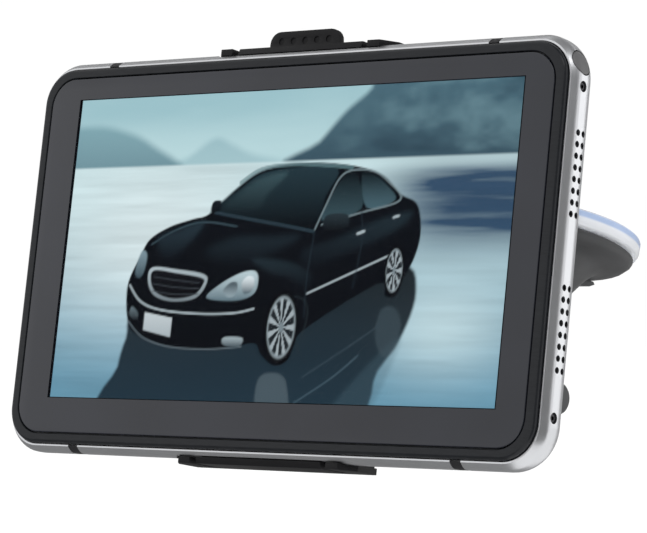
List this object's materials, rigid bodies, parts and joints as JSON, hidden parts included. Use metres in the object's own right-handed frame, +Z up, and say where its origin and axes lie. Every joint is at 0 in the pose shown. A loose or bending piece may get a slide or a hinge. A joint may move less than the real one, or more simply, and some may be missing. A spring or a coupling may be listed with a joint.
{
  "type": "portable gps navigator",
  "caption": "Flat in-car navigator with a wide touch screen in a metal frame, clipped in a cradle on a ball joint, arm and suction mount with a release lever.",
  "frame": {"origin": "the centre of the suction pad's flat face, which the whole object hangs from", "axes": "+X along the navigator's length, to the right seen from its screen; +Y from the screen towards the pad; +Z up. The pad's face looks up and back, along (0, 0.284, 0.959), and the navigator leans back 9.7 degrees."},
  "size_m": [0.1856, 0.1651, 0.1204],
  "materials": {
    "glass": "gloss touch glass",
    "screen": "lit display",
    "black_gloss": "gloss black moulding",
    "black_plastic": "fine matt texture",
    "grey_plastic": "satin dark grey",
    "stylus_grey": "satin mid grey",
    "silver": "fine satin metal",
    "steel": "plain bright steel",
    "dark_steel": "blackened steel",
    "clear_vinyl": "clear soft vinyl",
    "circuit_green": "solder mask",
    "ceramic": "fired ceramic",
    "cell_foil": "foil pouch",
    "white_film": "white moulding or film"
  },
  "bodies": {
    "base": {"suction_pad": "clear_vinyl", "dome": "grey_plastic"},
    "plunger": {"plunger": "black_plastic", "lever_pin": "steel"},
    "lever": {"suction_lever": "grey_plastic"},
    "arm": {"arm": "black_plastic", "ball_stud": "steel", "pivot_nut": "steel"},
    "knob": {"tilt_knob": "grey_plastic", "pivot_bolt": "steel"},
    "liner": {"ball_liner": "white_film"},
    "socket": {"socket_cup": "black_plastic", "swivel_screw": "steel"},
    "collar": {"lock_collar": "black_plastic"},
    "cradle": {"cradle_plate": "black_plastic", "latch_pin": "steel"},
    "latch": {"top_latch": "black_plastic"},
    "device": {"side_frame": "silver", "band_top_left": "black_plastic", "band_top_right": "black_plastic", "band_bottom_left": "black_plastic", "band_bottom_right": "black_plastic", "bezel": "black_gloss", "touch_glass": "glass", "lcd_panel": "screen", "backlight": "white_film", "mid_frame": "steel", "back_cover": "black_plastic", "side_screw_0": "dark_steel", "side_screw_1": "dark_steel", "side_screw_2": "dark_steel", "side_screw_3": "dark_steel", "cover_screw_0": "dark_steel", "cover_screw_1": "dark_steel", "cover_screw_2": "dark_steel", "cover_screw_3": "dark_steel", "main_board": "circuit_green", "shield_can": "steel", "gps_antenna": "ceramic", "battery": "cell_foil", "speaker": "dark_steel", "usb_jack": "steel", "audio_jack": "black_plastic", "card_slot": "steel", "button_switch": "steel", "stylus_sleeve": "black_plastic"},
    "button": {"power_button": "black_plastic"},
    "card": {"memory_card": "black_plastic"},
    "stylus_body": {"stylus": "stylus_grey"}
  },
  "joints": [
    {"name": "plunger_slide", "type": "slide", "parent": "base", "child": "plunger", "axis": [0, 0.284, 0.9588], "range_m": [0, 0.0022]},
    {"name": "lever_turn", "type": "hinge", "parent": "plunger", "child": "lever", "pos_m": [0, -0.00429, -0.01448], "axis": [-1, 0, 0], "range_deg": [0, 55]},
    {"name": "arm_tilt", "type": "hinge", "parent": "base", "child": "arm", "pos_m": [0, -0.0164, -0.05086], "axis": [1, 0, 0], "range_deg": [-15, 60]},
    {"name": "knob_turn", "type": "hinge", "parent": "arm", "child": "knob", "pos_m": [0, -0.0164, -0.05086], "axis": [1, 0, 0], "range_deg": [-180, 180]},
    {"name": "head_pan", "type": "hinge", "parent": "arm", "child": "liner", "pos_m": [0, -0.0904, -0.01371], "axis": [0, 0.1685, 0.9857], "range_deg": [-18, 18]},
    {"name": "head_tilt", "type": "hinge", "parent": "liner", "child": "socket", "pos_m": [0, -0.0904, -0.01371], "axis": [1, 0, 0], "range_deg": [-18, 18]},
    {"name": "collar_turn", "type": "hinge", "parent": "socket", "child": "collar", "pos_m": [0, -0.0904, -0.01371], "axis": [0, 0.9857, -0.1685], "range_deg": [-60, 60]},
    {"name": "head_roll", "type": "hinge", "parent": "socket", "child": "cradle", "pos_m": [0, -0.0904, -0.01371], "axis": [0, 0.9857, -0.1685], "continuous": true},
    {"name": "latch_open", "type": "hinge", "parent": "cradle", "child": "latch", "pos_m": [0, -0.10096, 0.04145], "axis": [-1, 0, 0], "range_deg": [0, 12], "stiffness_Nm_per_rad": 0.02},
    {"name": "device_release", "type": "slide", "parent": "cradle", "child": "device", "axis": [0, -0.9857, 0.1685], "range_m": [0, 0.03]},
    {"name": "power_press", "type": "slide", "parent": "device", "child": "button", "axis": [1, 0, 0], "range_m": [0, 0.0006], "stiffness_N_per_m": 400},
    {"name": "card_eject", "type": "slide", "parent": "device", "child": "card", "axis": [-1, 0, 0], "range_m": [0, 0.013]},
    {"name": "stylus_pull", "type": "slide", "parent": "device", "child": "stylus_body", "axis": [1, 0, 0], "range_m": [0, 0.09]}
  ],
  "couplings": [
    {"joint": "lever_turn", "follows": "plunger_slide", "rad_per_m": 436.3}
  ]
}
